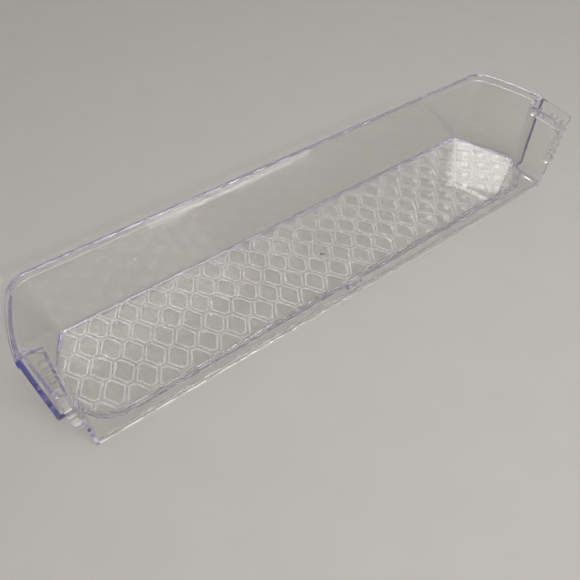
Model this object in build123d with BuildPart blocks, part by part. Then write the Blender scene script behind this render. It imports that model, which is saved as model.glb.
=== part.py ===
"""Clear door shelf of a refrigerator, moulded in one piece. Millimetres, +Z up, front wall towards +Y."""
import os

from build123d import *

os.makedirs("parts", exist_ok=True)

# Overall form
length = 515.0  # over the end walls at their rear edges, below the rim band
depth = 111.0  # rear skirt to the rim band of the front wall
wall_top = 75.0  # height of the front and end walls
floor_t = 2.5
wall_t = 2.8  # front and end walls
pan_fillet = 2.5  # inside, where the walls meet the floor
base_bevel = 1.0  # outside, where the walls meet the floor

# Rim band: along their top the walls stand out a little, most at the band's foot
rim_h = 6.5
rim_foot_out, rim_top_out = 0.8, 0.4
rim_bevel = 0.5

# Plan of the walls, given at the base and at the rim
base_taper, rim_taper = 28.8, 17.3  # how far an end wall runs inwards by the time it meets the front wall
base_bow, rim_bow = 2.9, 3.75  # how far an end wall bows outwards
base_corner_r, rim_corner_r = 7.0, 19.0
front_draft = 1.3  # how far the front wall leans out over its height
return_from_rear = 34.0  # the end walls turn inwards here and close the hook pocket's front
return_lean = 4.5  # how far this return leans forwards over the walls' height

# Rear edge: a ledge behind a low lip that keeps spills on the floor
pocket_depth = 15.9  # from the end wall's rear edge in to the pocket plate
plate_t = 2.2
ledge_rise = 3.0  # top of the ledge above the floor
ledge_t = 2.0
skirt_t = 2.0
lip_from_rear = 9.5
lip_t = 2.6
lip_h = 6.0  # above the floor
lip_corner_r = 28.0
lip_round = 1.1
tab_length, tab_depth, tab_drop = 16.0, 3.6, 1.2  # stop tab behind the middle of the lip
tab_rib_t = 1.2

# Hook pockets: an inverted L of ribbed bearing wall on the outer side of each pocket plate
rail_out = 5.6  # how far it stands out from the plate
rail_t = 1.8
rail_drop = 8.1  # from the foot of the flare down to the face that hangs on the door's lug
rail_corner_r = 3.0
post_from_rear = 7.6
post_h = 32.4  # below that face, above its rounded foot
post_ribs = 5
rail_ribs = 5
rib_t = 1.3
flange_over = 3.0  # the flared top of the pocket plate stands this far above the walls
flange_h = 6.5
flange_rear_out, flange_front_out = 5.6, 11.4
flange_rear_round = 4.0

# Honeycomb relief in the underside of the floor
cell_pitch_x, cell_pitch_y = 26.8, 25.2  # between cells of one row and of one column
cell_flat = 6.0  # the two short sides of a cell, along the shelf
cell_band = 3.2  # land between cells
cell_depth = 0.45
cell_slope = 60.0  # degrees between a cell's side and the upright
relief_margin = 3.0

# Sprue mark on the floor
sprue_d, sprue_h = 4.6, 1.2
sprue_from_rear = 53.0

# Places that follow from the sizes above
y_rear = -depth / 2
y_front = depth / 2
y_return = y_rear + return_from_rear
post_y = y_rear + post_from_rear
lip_inner_y = y_rear + lip_from_rear + lip_t
plate_half = length / 2 - pocket_depth  # outer face of a pocket plate, and the end of the ledge
plate_inner = plate_half - plate_t
plate_depth = return_from_rear + wall_t
lip_top = floor_t + lip_h
ledge_top = floor_t + ledge_rise
band_foot = wall_top - rim_h
flange_top = wall_top + flange_over
flange_from = flange_top - flange_h
rail_under = flange_from - rail_drop
post_bottom = rail_under - post_h
through = 1.0  # cuts run past the faces by this much
edge_share = 0.45  # a bevelled or rounded edge takes at most this much of its wall
rim_edge = min(rim_bevel, edge_share * wall_t)
bevel_foot = wall_top - rim_edge


def return_y(z):
    """Rear face of the end walls' return at height z."""
    return y_return + return_lean * z / wall_top


plate_front_y = return_y(flange_top) + wall_t
pan_front_y = plate_front_y + lip_corner_r / 2


def wall_outline(z, inset=0.0, grow=0.0):
    """Plan of the walls at height z, moved inwards by inset, or grown at the front and the ends."""
    up = z / wall_top
    half = length / 2 + grow
    corner_half = half - base_taper - up * (rim_taper - base_taper)
    bow = base_bow + up * (rim_bow - base_bow)
    corner_r = base_corner_r + up * (rim_corner_r - base_corner_r) + grow
    front = y_front - rim_foot_out + front_draft * (z - band_foot) / wall_top + grow
    rear = return_y(z)
    with BuildSketch(Plane.XY.offset(z)) as outline:
        with BuildLine():
            SagittaArc((half, rear), (corner_half, front), -bow)
            Line((corner_half, front), (-corner_half, front))
            SagittaArc((-corner_half, front), (-half, rear), -bow)
            Line((-half, rear), (half, rear))
        make_face()
        fillet(outline.vertices().group_by(Axis.Y)[-1], radius=corner_r)
        if inset:
            offset(amount=-inset, mode=Mode.REPLACE)
    return outline.sketch


def pan_outline(z, grow):
    """Plan of the floor between the pocket plates, rounded at its rear corners, grown by grow."""
    half = plate_inner + grow
    rear = lip_inner_y - grow
    with BuildSketch(Plane.XY.offset(z)) as outline:
        with BuildLine():
            Polyline(
                (-half, pan_front_y),
                (-half, rear),
                (half, rear),
                (half, pan_front_y),
                close=True,
            )
        make_face()
        fillet(outline.vertices().group_by(Axis.Y)[0], radius=lip_corner_r + grow)
    return outline.sketch


def flange_outline(z, rear_out, front_out):
    """Plan of the pocket plate where it flares, moved outwards at its rear and its front end."""
    with BuildSketch(Plane.XY.offset(z)) as outline:
        with BuildLine():
            Polyline(
                (plate_inner + rear_out, y_rear),
                (plate_half + rear_out, y_rear),
                (plate_half + front_out, plate_front_y),
                (plate_inner + front_out, plate_front_y),
                close=True,
            )
        make_face()
    return outline.sketch


with BuildPart() as core:
    # The space between the front and end walls, with a bevel round its mouth
    loft(
        [
            wall_outline(floor_t, inset=wall_t),
            wall_outline(bevel_foot, inset=wall_t),
            wall_outline(wall_top, inset=wall_t - rim_edge),
        ],
        ruled=True,
    )
    fillet(core.edges().group_by(Axis.Z)[0].sort_by(Axis.Y)[1:], radius=pan_fillet)

with BuildPart() as tub:
    # Front and end walls up to the rim band, bevelled at the base
    loft([wall_outline(0, grow=-base_bevel), wall_outline(base_bevel), wall_outline(band_foot)], ruled=True)
    # Rim band, bevelled along its top
    loft(
        [
            wall_outline(band_foot, grow=rim_foot_out),
            wall_outline(bevel_foot, grow=rim_top_out),
            wall_outline(wall_top, grow=rim_top_out - rim_edge),
        ],
        ruled=True,
    )
    add(core.part, mode=Mode.SUBTRACT)

with BuildPart() as lip:
    # Low lip round the rear of the floor, with a rounded top
    extrude(pan_outline(0, lip_t), amount=lip_top)
    extrude(pan_outline(floor_t, 0), amount=lip_h + through, mode=Mode.SUBTRACT)
    fillet(lip.edges().group_by(Axis.Z)[-1], radius=min(lip_round, edge_share * lip_t))
    with Locations((0, y_rear, 0)):
        Box(
            2 * plate_half,
            plate_depth,
            lip_top,
            align=(Align.CENTER, Align.MIN, Align.MIN),
            mode=Mode.INTERSECT,
        )

with BuildPart() as hook:
    # Pocket plate, flared along its top, its front end leaning with the return that it runs into
    with BuildSketch():
        with Locations((plate_inner, y_rear)):
            Rectangle(plate_t, plate_front_y - y_rear, align=(Align.MIN, Align.MIN))
    extrude(amount=flange_from)
    flare = flange_outline(flange_top, flange_rear_out, flange_front_out)
    loft([flange_outline(flange_from, 0, 0), flare], ruled=True)
    with BuildSketch(Plane.YZ.offset(plate_inner)) as side_view:
        with BuildLine():
            Polyline(
                (y_rear, 0),
                (return_y(0) + wall_t, 0),
                (plate_front_y, flange_top),
                (y_rear, flange_top),
                close=True,
            )
        make_face()
        fillet(side_view.vertices().sort_by_distance((y_rear, flange_top, 0))[0], radius=flange_rear_round)
    extrude(amount=plate_t + max(flange_rear_out, flange_front_out), mode=Mode.INTERSECT)
    # Bearing wall of the pocket with the ribs that back it
    with BuildSketch(Plane.YZ.offset(plate_half - plate_t / 2)) as bearing:
        with Locations((post_y - rail_t, rail_under)):
            rail_length = return_y(rail_under) + wall_t / 2 - post_y + rail_t
            Rectangle(rail_length, rail_t, align=(Align.MIN, Align.MIN))
        with Locations((post_y, post_bottom)):
            Rectangle(rail_t, post_h + rail_t, align=(Align.MAX, Align.MIN))
        fillet(bearing.vertices().sort_by_distance((post_y, rail_under, 0))[0], radius=rail_corner_r)
        rung_pitch = (post_h + rail_t - rib_t) / (post_ribs - 1)
        for rung in range(post_ribs):
            with Locations((y_rear, post_bottom + rung * rung_pitch)):
                Rectangle(post_from_rear - rail_t / 2, rib_t, align=(Align.MIN, Align.MIN))
        with Locations((y_rear + post_from_rear / 2, post_bottom)):
            Circle(post_from_rear / 2)
        rib_pitch = (return_y(rail_under) - post_y) / rail_ribs
        for rib in range(rail_ribs):
            with Locations((post_y + rib * rib_pitch, rail_under + rail_t / 2)):
                Rectangle(rib_t, flange_from - rail_under - rail_t / 2, align=(Align.MAX, Align.MIN))
    extrude(amount=rail_out + plate_t / 2)

with BuildPart() as cell:
    # One six-sided cell, pointed along the shelf, with sloping sides
    with BuildSketch() as cell_mouth:
        flat_half = cell_flat / 2
        point_half = cell_pitch_x / 2 - flat_half
        side_half = cell_pitch_y / 2
        with BuildLine():
            Polyline(
                (flat_half, side_half),
                (-flat_half, side_half),
                (-point_half, 0),
                (-flat_half, -side_half),
                (flat_half, -side_half),
                (point_half, 0),
                close=True,
            )
        make_face()
        offset(amount=-cell_band / 2, kind=Kind.INTERSECTION, mode=Mode.REPLACE)
    extrude(amount=cell_depth, taper=cell_slope)

with BuildSketch() as relief_field:
    add(wall_outline(0, inset=wall_t + relief_margin))
    add(pan_outline(0, -relief_margin))

with BuildPart() as relief:
    # Two grids of cells set between each other, cut off where the field ends
    columns = 2 * round(plate_half / cell_pitch_x) + 1
    rows = 2 * round(y_front / cell_pitch_y) + 1
    grid = GridLocations(cell_pitch_x, cell_pitch_y, columns, rows).locations
    between = Location((cell_pitch_x / 2, cell_pitch_y / 2, 0))
    spots = grid + [between * spot for spot in grid]
    with Locations([spot for spot in spots if relief_field.sketch.distance_to(spot.position) < cell_band]):
        add(cell.part)
    extrude(relief_field.sketch, amount=cell_depth, mode=Mode.INTERSECT)

with BuildPart() as door_shelf:
    add(tub.part)
    with BuildSketch():
        with Locations((0, y_rear)):
            Rectangle(2 * plate_half, plate_depth, align=(Align.CENTER, Align.MIN))
    extrude(amount=ledge_top)
    # The floor runs on between the pocket plates as far as the lip
    extrude(pan_outline(floor_t, 0), amount=wall_top + through, mode=Mode.SUBTRACT)
    # The ledge is hollow from below, as wide as the lip and the skirt leave it
    with BuildSketch():
        with Locations((0, y_rear + skirt_t)):
            Rectangle(2 * plate_inner, return_from_rear - skirt_t, align=(Align.CENTER, Align.MIN))
        add(pan_outline(0, lip_t), mode=Mode.SUBTRACT)
        with Locations((0, y_rear)):
            Rectangle(tab_rib_t, 2 * lip_from_rear, mode=Mode.SUBTRACT)
    extrude(amount=ledge_top - ledge_t, mode=Mode.SUBTRACT)
    add(lip.part)
    with Locations((0, y_rear + lip_from_rear + lip_t / 2, 0)):
        Box(
            tab_length,
            tab_depth + lip_t / 2,
            lip_top - tab_drop,
            align=(Align.CENTER, Align.MAX, Align.MIN),
        )
    add(hook.part)
    mirror(hook.part, about=Plane.YZ)
    add(relief.part, mode=Mode.SUBTRACT)
    # Sprue mark on the floor
    with Locations((0, y_rear + sprue_from_rear, floor_t)):
        Cylinder(sprue_d / 2, 2 * sprue_h)

door_shelf.part.label = "door_shelf"
export_step(door_shelf.part, "parts/door_shelf.step")
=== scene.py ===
"""Clear refrigerator door shelf: gives it its moulded polystyrene and sets it on a pale studio floor."""
import math

import bpy
import numpy as np
from bpy.props import FloatProperty, FloatVectorProperty, PointerProperty, StringProperty
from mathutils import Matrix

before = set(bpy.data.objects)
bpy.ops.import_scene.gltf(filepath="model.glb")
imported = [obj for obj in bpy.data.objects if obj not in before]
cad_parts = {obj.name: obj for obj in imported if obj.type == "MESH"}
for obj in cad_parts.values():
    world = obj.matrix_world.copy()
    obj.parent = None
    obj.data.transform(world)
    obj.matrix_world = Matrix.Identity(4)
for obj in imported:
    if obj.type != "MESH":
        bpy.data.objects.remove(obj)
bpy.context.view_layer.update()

bl_info = {
    "name": "Clear Door Shelf",
    "version": (1, 0, 0),
    "blender": (4, 5, 0),
    "location": "3D View > Sidebar > Door Shelf",
    "description": "Finishes a refrigerator door shelf in clear polystyrene and sets up its studio",
    "category": "Object",
}

MM = 0.001

# The shelf's node, as model.glb names it
SHELF_NODE = "door_shelf"

# A face is level where the upright share of its normal is above this
LEVEL_SHARE = 0.8
# How far the floor's upper face may lie from its height
FLOOR_TOLERANCE = 0.2 * MM

# Lamps as seen from the shelf: lengths in metres, angles in degrees, headings from +Y towards +X
WINDOW = dict(width=0.24, height=0.6, distance=1.893, heading=63.2, elevation=27.7, tilt=0.0, roll=0.0)
REAR = dict(width=0.7, height=0.05, distance=1.6, heading=155.0, elevation=37.6, tilt=37.6, roll=-17.0)
OVERHEAD = dict(width=0.7, height=0.7, distance=1.15, heading=185.0, elevation=58.0, tilt=58.0, roll=0.0)

# Rings of the paper's flat part and of its turn, and faces in a ring
FLAT_RINGS = 11
TURN_RINGS = 23
RING_FACES = 96
# How often light may pass or mirror before it is given up
LIGHT_BOUNCES = 96


def linear(hex_colour):
    """Turns an sRGB hex colour such as "#B4B0AA" to linear red, green, blue and an alpha of 1."""
    srgb = np.array([int(hex_colour[i:i + 2], 16) for i in (1, 3, 5)]) / 255
    rgb = np.where(srgb <= 0.04045, srgb / 12.92, ((srgb + 0.055) / 1.055) ** 2.4)
    return (*rgb.tolist(), 1.0)


def add_node(tree, kind, inputs=None, **settings):
    """Adds a node of one kind. An input is a plain value, or the output socket that feeds it."""
    node = tree.nodes.new(kind)
    for name, value in settings.items():
        setattr(node, name, value)
    for socket, value in (inputs or {}).items():
        if isinstance(value, bpy.types.NodeSocket):
            tree.links.new(value, node.inputs[socket])
        else:
            node.inputs[socket].default_value = value
    return node


def new_material(name):
    """An empty node material and its tree."""
    material = bpy.data.materials.new(name)
    material.use_nodes = True
    tree = material.node_tree
    tree.nodes.clear()
    return material, tree


def cell_slant(look):
    """Unit vector across a cell's slanting side, and how far that side lies from the cell's middle.

    A cell has a flat side above and below, and slanting sides that meet in a point at its left and right.
    """
    half_x, half_y = look.cell_pitch_x / 2, look.cell_pitch_y / 2
    run = half_x - look.cell_flat
    slant = math.hypot(run, half_y)
    return (half_y / slant, run / slant, 0.0), (half_x - look.cell_flat / 2) * half_y / slant


def cell_offset(tree, place, look):
    """Offset of a point from the middle of its cell. The cells stand on two interleaved grids."""
    half = (look.cell_pitch_x / 2, look.cell_pitch_y / 2, 0.0)
    back = tuple(-reach for reach in half)
    moved = add_node(tree, "ShaderNodeVectorMath", {0: place, 1: half}, operation="ADD").outputs[0]
    first = add_node(tree, "ShaderNodeVectorMath", {0: place, 1: half, 2: back}, operation="WRAP").outputs[0]
    second = add_node(tree, "ShaderNodeVectorMath", {0: moved, 1: half, 2: back}, operation="WRAP").outputs[0]
    # A point is in a cell of the first grid where it lies within that cell's slanting sides
    across, reach = cell_slant(look)
    size = add_node(tree, "ShaderNodeVectorMath", {0: first}, operation="ABSOLUTE").outputs[0]
    side = add_node(tree, "ShaderNodeVectorMath", {0: size, 1: across}, operation="DOT_PRODUCT").outputs[1]
    inside = add_node(tree, "ShaderNodeMath", {0: side, 1: reach}, operation="LESS_THAN").outputs[0]
    return add_node(tree, "ShaderNodeMix", {0: inside, 4: second, 5: first}, data_type="VECTOR").outputs[1]


def domed_normal(tree, height, offset, look):
    """Normal of the shelf: each cell of the underside is a shallow dome, and edges are a little round.

    The offset from the middle of a cell, over the radius of the dome, is how far the normal leans there.
    """
    rounded = add_node(tree, "ShaderNodeBevel", {"Radius": look.edge_round}, samples=4).outputs[0]
    facing = add_node(tree, "ShaderNodeSeparateXYZ", {0: rounded}).outputs["Z"]
    upward = add_node(tree, "ShaderNodeMath", {0: facing}, operation="SIGN").outputs[0]
    flat = add_node(tree, "ShaderNodeCombineXYZ", {"Z": upward}).outputs[0]
    slope = add_node(tree, "ShaderNodeMath", {0: upward, 1: look.dome_radius}, operation="DIVIDE").outputs[0]
    tilt = add_node(tree, "ShaderNodeVectorMath", {0: offset, "Scale": slope}, operation="SCALE").outputs[0]
    domed = add_node(tree, "ShaderNodeVectorMath", {0: flat, 1: tilt}, operation="ADD").outputs[0]
    # The domes are on the level faces near the ground
    low = add_node(
        tree, "ShaderNodeMath", {0: height, 1: look.relief_height}, operation="LESS_THAN"
    ).outputs[0]
    share = add_node(tree, "ShaderNodeMath", {0: facing}, operation="ABSOLUTE").outputs[0]
    level = add_node(tree, "ShaderNodeMath", {0: share, 1: LEVEL_SHARE}, operation="GREATER_THAN").outputs[0]
    under = add_node(tree, "ShaderNodeMath", {0: level, 1: low}, operation="MULTIPLY").outputs[0]
    mixed = add_node(tree, "ShaderNodeMix", {0: under, 4: rounded, 5: domed}, data_type="VECTOR").outputs[1]
    return add_node(tree, "ShaderNodeVectorMath", {0: mixed}, operation="NORMALIZE").outputs[0]


def pale_lines(tree, height, offset, look):
    """Share of light that the floor's upper face scatters as white diffuse: a painted highlight along the two
    edges of the land between cells, which show as pale lines.

    A line is palest where the distance to the nearest side of the cell's outline is half the land's width.
    """
    across, reach = cell_slant(look)
    size = add_node(tree, "ShaderNodeVectorMath", {0: offset}, operation="ABSOLUTE").outputs[0]
    side = add_node(tree, "ShaderNodeVectorMath", {0: size, 1: across}, operation="DOT_PRODUCT").outputs[1]
    size_y = add_node(tree, "ShaderNodeSeparateXYZ", {0: size}).outputs["Y"]
    to_slant = add_node(tree, "ShaderNodeMath", {0: reach, 1: side}, operation="SUBTRACT").outputs[0]
    to_flat = add_node(
        tree, "ShaderNodeMath", {0: look.cell_pitch_y / 2, 1: size_y}, operation="SUBTRACT"
    ).outputs[0]
    to_side = add_node(tree, "ShaderNodeMath", {0: to_slant, 1: to_flat}, operation="MINIMUM").outputs[0]
    past_edge = add_node(
        tree, "ShaderNodeMath", {0: to_side, 1: look.cell_band / 2}, operation="SUBTRACT"
    ).outputs[0]
    off_line = add_node(tree, "ShaderNodeMath", {0: past_edge}, operation="ABSOLUTE").outputs[0]
    # Painted highlight: the white diffuse share that makes the pale lines, peaking on each edge of the land
    painted_glint = add_node(
        tree,
        "ShaderNodeMapRange",
        {"Value": off_line, "From Max": look.line_half_width, "To Min": look.line_painted_glint, "To Max": 0.0},
        interpolation_type="SMOOTHSTEP",
    ).outputs[0]
    on_floor = add_node(
        tree, "ShaderNodeMath", {0: height, 1: look.floor_height, 2: FLOOR_TOLERANCE}, operation="COMPARE"
    ).outputs[0]
    return add_node(tree, "ShaderNodeMath", {0: painted_glint, 1: on_floor}, operation="MULTIPLY").outputs[0]


def clear_polystyrene(look):
    """Moulded clear polystyrene: polished, water-clear face-on, violet where the eye looks along a wall."""
    material, tree = new_material("moulded clear polystyrene")
    place = add_node(tree, "ShaderNodeTexCoord").outputs["Object"]
    height = add_node(tree, "ShaderNodeSeparateXYZ", {0: place}).outputs["Z"]
    offset = cell_offset(tree, place, look)
    # Slow waves that the mould's cooling leaves in the walls bend the reflections a little
    waves = add_node(
        tree,
        "ShaderNodeTexNoise",
        {"Vector": place, "Scale": 1 / look.wave_length, "Detail": 1.0},
    )
    ripple = add_node(
        tree,
        "ShaderNodeBump",
        {
            "Height": waves.outputs[0],
            "Strength": 1.0,
            "Distance": look.wave_height,
            "Normal": domed_normal(tree, height, offset, look),
        },
    )
    # Handling leaves a faint haze in patches
    haze = add_node(tree, "ShaderNodeTexNoise", {"Vector": place, "Scale": 1 / look.haze_size, "Detail": 4.0})
    rough = add_node(
        tree,
        "ShaderNodeMapRange",
        {"Value": haze.outputs[0], "From Min": 0.4, "From Max": 0.75, "To Min": 0.0, "To Max": look.haze},
    )
    # All is clear but for the pale lines in the floor, where a white diffuse share is a painted highlight
    lines = pale_lines(tree, height, offset, look)
    clear = add_node(tree, "ShaderNodeMath", {0: 1.0, 1: lines}, operation="SUBTRACT")
    shader = add_node(
        tree,
        "ShaderNodeBsdfPrincipled",
        {
            "Base Color": linear(look.body_colour),
            "Roughness": rough.outputs[0],
            "IOR": look.refraction,
            "Transmission Weight": clear.outputs[0],
            "Normal": ripple.outputs[0],
        },
    )
    # Light that travels far inside a wall loses red and green, so edges turn violet
    tint = add_node(
        tree,
        "ShaderNodeVolumeAbsorption",
        {"Color": linear(look.edge_colour), "Density": look.edge_density},
    )
    add_node(
        tree,
        "ShaderNodeOutputMaterial",
        {"Surface": shader.outputs[0], "Volume": tint.outputs[0]},
    )
    return material


def studio_paper(stage):
    """Matt pale paper: an even warm grey with a faint mottle of its pulp."""
    material, tree = new_material("matt pale paper")
    place = add_node(tree, "ShaderNodeTexCoord").outputs["Object"]
    pulp = add_node(
        tree,
        "ShaderNodeTexNoise",
        {"Vector": place, "Scale": 1 / stage.mottle_size, "Detail": 3.0},
    )
    tone = add_node(
        tree,
        "ShaderNodeMapRange",
        {"Value": pulp.outputs[0], "To Min": 0.97, "To Max": 1.03},
    )
    colour = add_node(
        tree,
        "ShaderNodeVectorMath",
        {0: linear(stage.floor_colour)[:3], "Scale": tone.outputs[0]},
        operation="SCALE",
    )
    shader = add_node(
        tree,
        "ShaderNodeBsdfPrincipled",
        {"Base Color": colour.outputs[0], "Roughness": 0.9, "IOR": 1.3},
    )
    add_node(tree, "ShaderNodeOutputMaterial", {"Surface": shader.outputs[0]})
    return material


def bowl_profile(flat_radius, wall_radius, wall_height, drop):
    """Radius and height of the rings of a floor that turns up into a round backdrop.

    The profile is flat to flat_radius, and from there follows a quarter of an ellipse up to the wall's top.
    """
    flat = np.linspace(0.0, flat_radius, FLAT_RINGS + 1)[1:]
    turn = np.linspace(0.0, math.pi / 2, TURN_RINGS + 1)[1:]
    radius = np.concatenate([flat, flat_radius + (wall_radius - flat_radius) * np.sin(turn)])
    height = np.concatenate([np.zeros_like(flat), wall_height * (1 - np.cos(turn))]) - drop
    return radius, height


def turned_mesh(name, radius, height):
    """Mesh of a profile turned about Z: quads from ring to ring, and one round face inside the first ring."""
    angle = np.linspace(0.0, 2 * math.pi, RING_FACES, endpoint=False)
    x = np.outer(np.cos(angle), radius)
    y = np.outer(np.sin(angle), radius)
    points = np.stack([x, y, np.broadcast_to(height, x.shape)], axis=-1)
    here = np.arange(x.size).reshape(x.shape)
    after = np.roll(here, -1, axis=0)
    quads = np.stack([here[:, :-1], here[:, 1:], after[:, 1:], after[:, :-1]], axis=-1).reshape(-1, 4)
    faces = [*quads.tolist(), here[:, 0].tolist()]
    mesh = bpy.data.meshes.new(name)
    mesh.from_pydata(points.reshape(-1, 3), [], faces)
    mesh.polygons.foreach_set("use_smooth", np.ones(len(faces), bool))
    mesh.update()
    return mesh


def aim(thing, place, heading, down):
    """Puts a lamp or camera at a place, facing a heading from +Y towards +X and so far below the horizon."""
    thing.location = place
    thing.rotation_euler = (math.pi / 2 - down, 0.0, -heading)


class ShelfLook(bpy.types.PropertyGroup):
    """Finish of the shelf."""

    body_colour: StringProperty(
        name="Body Colour",
        description="sRGB colour of the resin itself, a little warm",
        default="#F6F6F3",
    )
    edge_colour: StringProperty(
        name="Edge Colour",
        description="sRGB colour that the violet toner leaves of light along a wall",
        default="#5A3CEB",
    )
    edge_density: FloatProperty(
        name="Edge Density",
        description="How fast a wall takes the other colours, per metre",
        default=4.0,
    )
    refraction: FloatProperty(
        name="Refraction",
        description="Index of refraction of polystyrene",
        default=1.59,
    )
    wave_length: FloatProperty(
        name="Wave Length",
        description="Length of the slow waves in the walls",
        default=28 * MM,
        unit="LENGTH",
    )
    wave_height: FloatProperty(
        name="Wave Height",
        description="Height of the slow waves",
        default=0.01 * MM,
        unit="LENGTH",
    )
    cell_pitch_x: FloatProperty(
        name="Cell Pitch X",
        description="Distance between two cells in a row of the underside",
        default=26.8 * MM,
        unit="LENGTH",
    )
    cell_pitch_y: FloatProperty(
        name="Cell Pitch Y",
        description="Distance between two cells in a column of the underside",
        default=25.2 * MM,
        unit="LENGTH",
    )
    cell_flat: FloatProperty(
        name="Cell Flat",
        description="Length of a cell's short flat side",
        default=6 * MM,
        unit="LENGTH",
    )
    cell_band: FloatProperty(
        name="Cell Band",
        description="Width of the land between two cells",
        default=3.2 * MM,
        unit="LENGTH",
    )
    dome_radius: FloatProperty(
        name="Dome Radius",
        description="Radius to which each cell is domed",
        default=120 * MM,
        unit="LENGTH",
    )
    relief_height: FloatProperty(
        name="Relief Height",
        description="Faces lower than this belong to the underside",
        default=1.2 * MM,
        unit="LENGTH",
    )
    floor_height: FloatProperty(
        name="Floor Height",
        description="Upper face of the floor, where the pale lines show",
        default=2.5 * MM,
        unit="LENGTH",
    )
    line_half_width: FloatProperty(
        name="Line Half Width",
        description="Half the width of a pale line",
        default=1.5 * MM,
        unit="LENGTH",
    )
    # Painted highlight: the white diffuse share of a pale line in the floor
    line_painted_glint: FloatProperty(
        name="Line Painted Glint",
        description="Share of light that a pale line scatters",
        default=0.36,
        subtype="FACTOR",
    )
    edge_round: FloatProperty(
        name="Edge Round",
        description="Radius to which the mould rounds the edges",
        default=0.5 * MM,
        unit="LENGTH",
    )
    haze_size: FloatProperty(
        name="Haze Size",
        description="Size of a hazy patch",
        default=22 * MM,
        unit="LENGTH",
    )
    haze: FloatProperty(
        name="Haze",
        description="Roughness of a hazy patch",
        default=0.06,
        subtype="FACTOR",
    )


class ShelfStage(bpy.types.PropertyGroup):
    """Floor, lamps and camera."""

    floor_colour: StringProperty(
        name="Floor Colour",
        description="sRGB colour of the paper",
        default="#BDB9B3",
    )
    mottle_size: FloatProperty(
        name="Mottle Size",
        description="Size of the paper's mottle",
        default=40 * MM,
        unit="LENGTH",
    )
    floor_gap: FloatProperty(
        name="Floor Gap",
        description="Air between the shelf's underside and the paper",
        default=0.4 * MM,
        unit="LENGTH",
    )
    sky_colour: StringProperty(
        name="Sky Colour",
        description="sRGB colour of the even light from all sides",
        default="#FAFAFC",
    )
    sky: FloatProperty(
        name="Sky",
        description="Strength of the even light from all sides",
        default=0.6,
    )
    window_power: FloatProperty(
        name="Window Power",
        description="Upright lamp beyond the right end",
        default=1.6,
        unit="POWER",
    )
    rear_power: FloatProperty(
        name="Rear Power",
        description="Narrow bright lamp at the rear, for the glint along the rim",
        default=2.2,
        unit="POWER",
    )
    overhead_power: FloatProperty(
        name="Overhead Power",
        description="Broad lamp over the camera",
        default=5.2,
        unit="POWER",
    )
    camera_place: FloatVectorProperty(
        name="Camera Place",
        description="Where the camera stands",
        default=(-0.2198, -0.2593, 0.3633),
        subtype="TRANSLATION",
    )
    camera_heading: FloatProperty(
        name="Camera Heading",
        description="Turn from +Y towards +X",
        default=math.radians(35.48),
        subtype="ANGLE",
    )
    camera_down: FloatProperty(
        name="Camera Down",
        description="Tilt below the horizon",
        default=math.radians(50.98),
        subtype="ANGLE",
    )
    camera_lens: FloatProperty(
        name="Camera Lens",
        description="Focal length in mm on a 36 mm square",
        default=33.28,
        unit="CAMERA",
    )


class DOORSHELF_OT_shelf(bpy.types.Operator):
    """Give the moulded shelf its clear polystyrene"""

    bl_idname = "door_shelf.shelf"
    bl_label = "Finish Shelf"

    def execute(self, context):
        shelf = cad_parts[SHELF_NODE]
        shelf.data.materials.clear()
        shelf.data.materials.append(clear_polystyrene(context.scene.shelf_look))
        return {"FINISHED"}


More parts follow.
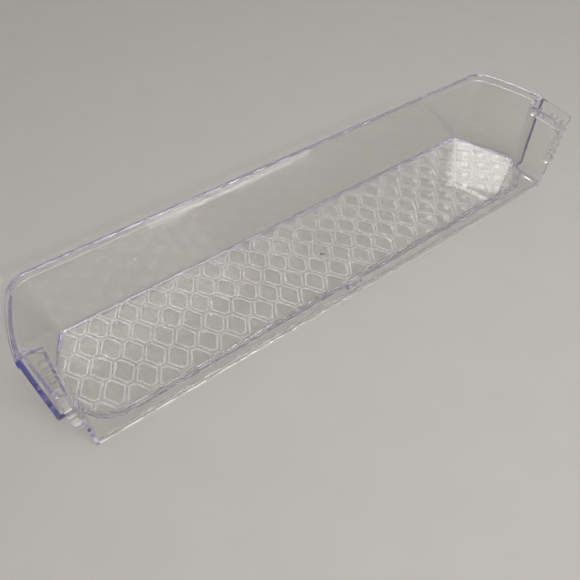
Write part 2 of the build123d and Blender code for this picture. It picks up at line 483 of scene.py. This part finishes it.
class DOORSHELF_OT_stage(bpy.types.Operator):
    """Add the paper floor, the lamps, the sky and the camera"""

    bl_idname = "door_shelf.stage"
    bl_label = "Add Stage"

    def execute(self, context):
        scene = context.scene
        stage = scene.shelf_stage
        bowl = bowl_profile(flat_radius=2.2, wall_radius=7.0, wall_height=2.4, drop=stage.floor_gap)
        paper = bpy.data.objects.new("paper_floor", turned_mesh("paper_floor", *bowl))
        paper.data.materials.append(studio_paper(stage))
        scene.collection.objects.link(paper)
        self.add_lamp(scene, "window", stage.window_power, **WINDOW)
        self.add_lamp(scene, "rear", stage.rear_power, **REAR)
        self.add_lamp(scene, "overhead", stage.overhead_power, **OVERHEAD)
        self.add_sky(scene, stage)
        camera = bpy.data.objects.new("camera", bpy.data.cameras.new("camera"))
        camera.data.sensor_width = 36.0
        camera.data.lens = stage.camera_lens
        camera.data.clip_start = 0.01
        aim(camera, stage.camera_place, stage.camera_heading, stage.camera_down)
        scene.collection.objects.link(camera)
        scene.camera = camera
        scene.view_settings.view_transform = "Standard"
        # Light goes through many clear walls and along them before it comes to the eye, and stays sharp
        scene.cycles.max_bounces = LIGHT_BOUNCES
        scene.cycles.transmission_bounces = LIGHT_BOUNCES
        scene.cycles.glossy_bounces = LIGHT_BOUNCES
        scene.cycles.blur_glossy = 0.0
        # Nothing of the lamps' light through the walls on to the paper is cut off
        scene.cycles.sample_clamp_indirect = 0.0
        return {"FINISHED"}

    @staticmethod
    def add_lamp(scene, name, power, width, height, distance, heading, elevation, tilt, roll):
        """A rectangular lamp at a heading and elevation from the shelf, facing it, tilted down and rolled."""
        lamp = bpy.data.lights.new(name, "AREA")
        lamp.shape = "RECTANGLE"
        lamp.size, lamp.size_y = width, height
        lamp.energy = power
        turn, rise = math.radians(heading), math.radians(elevation)
        level = distance * math.cos(rise)
        place = (level * math.sin(turn), level * math.cos(turn), distance * math.sin(rise))
        thing = bpy.data.objects.new(name, lamp)
        aim(thing, place, turn + math.pi, math.radians(tilt))
        thing.rotation_euler.rotate_axis("Z", math.radians(roll))
        thing.visible_camera = False
        scene.collection.objects.link(thing)

    @staticmethod
    def add_sky(scene, stage):
        """An even pale sky."""
        scene.world = bpy.data.worlds.new("sky")
        scene.world.use_nodes = True
        tree = scene.world.node_tree
        tree.nodes.clear()
        sky = add_node(
            tree, "ShaderNodeBackground", {"Color": linear(stage.sky_colour), "Strength": stage.sky}
        )
        add_node(tree, "ShaderNodeOutputWorld", {"Surface": sky.outputs[0]})


class DOORSHELF_PT_panel(bpy.types.Panel):
    """Lists the shelf's values and its operators"""

    bl_idname = "DOORSHELF_PT_panel"
    bl_label = "Door Shelf"
    bl_space_type = "VIEW_3D"
    bl_region_type = "UI"
    bl_category = "Door Shelf"

    def draw(self, context):
        for group in (context.scene.shelf_look, context.scene.shelf_stage):
            for name in group.__annotations__:
                self.layout.prop(group, name)
        for operator in (DOORSHELF_OT_shelf, DOORSHELF_OT_stage):
            self.layout.operator(operator.bl_idname)


CLASSES = (ShelfLook, ShelfStage, DOORSHELF_OT_shelf, DOORSHELF_OT_stage, DOORSHELF_PT_panel)


def register():
    for kind in CLASSES:
        bpy.utils.register_class(kind)
    bpy.types.Scene.shelf_look = PointerProperty(type=ShelfLook)
    bpy.types.Scene.shelf_stage = PointerProperty(type=ShelfStage)


def unregister():
    del bpy.types.Scene.shelf_stage
    del bpy.types.Scene.shelf_look
    for kind in reversed(CLASSES):
        bpy.utils.unregister_class(kind)


def main():
    register()
    bpy.ops.door_shelf.shelf()
    bpy.ops.door_shelf.stage()


if __name__ == "__main__":
    main()
